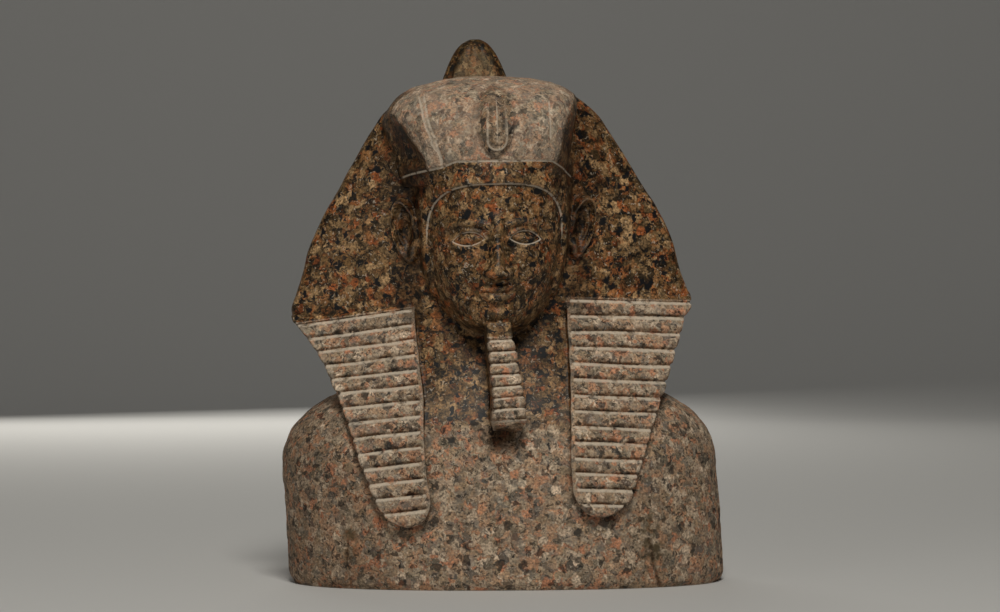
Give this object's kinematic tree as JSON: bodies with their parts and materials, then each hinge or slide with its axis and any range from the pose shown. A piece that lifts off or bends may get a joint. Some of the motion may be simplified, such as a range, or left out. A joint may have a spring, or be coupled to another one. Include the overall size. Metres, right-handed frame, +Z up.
{
  "type": "granite pharaoh bust",
  "caption": "Stone bust of a crowned figure in a striped headcloth with front lappets, forehead cobra and braided false beard, cut flat below.",
  "frame": {"origin": "centre of the sawn block's flat underside", "axes": "+Z up through the head, -Y the way the figure faces, +X towards the figure's left"},
  "size_m": [0.1773, 0.1066, 0.218],
  "materials": {
    "granite": "coarse red granite, polished on the cloth's wings, face and breast, and pecked matt on the cap, lappets and shoulders"
  },
  "bodies": {
    "root": {"pharaoh_bust": "granite"}
  },
  "joints": []
}
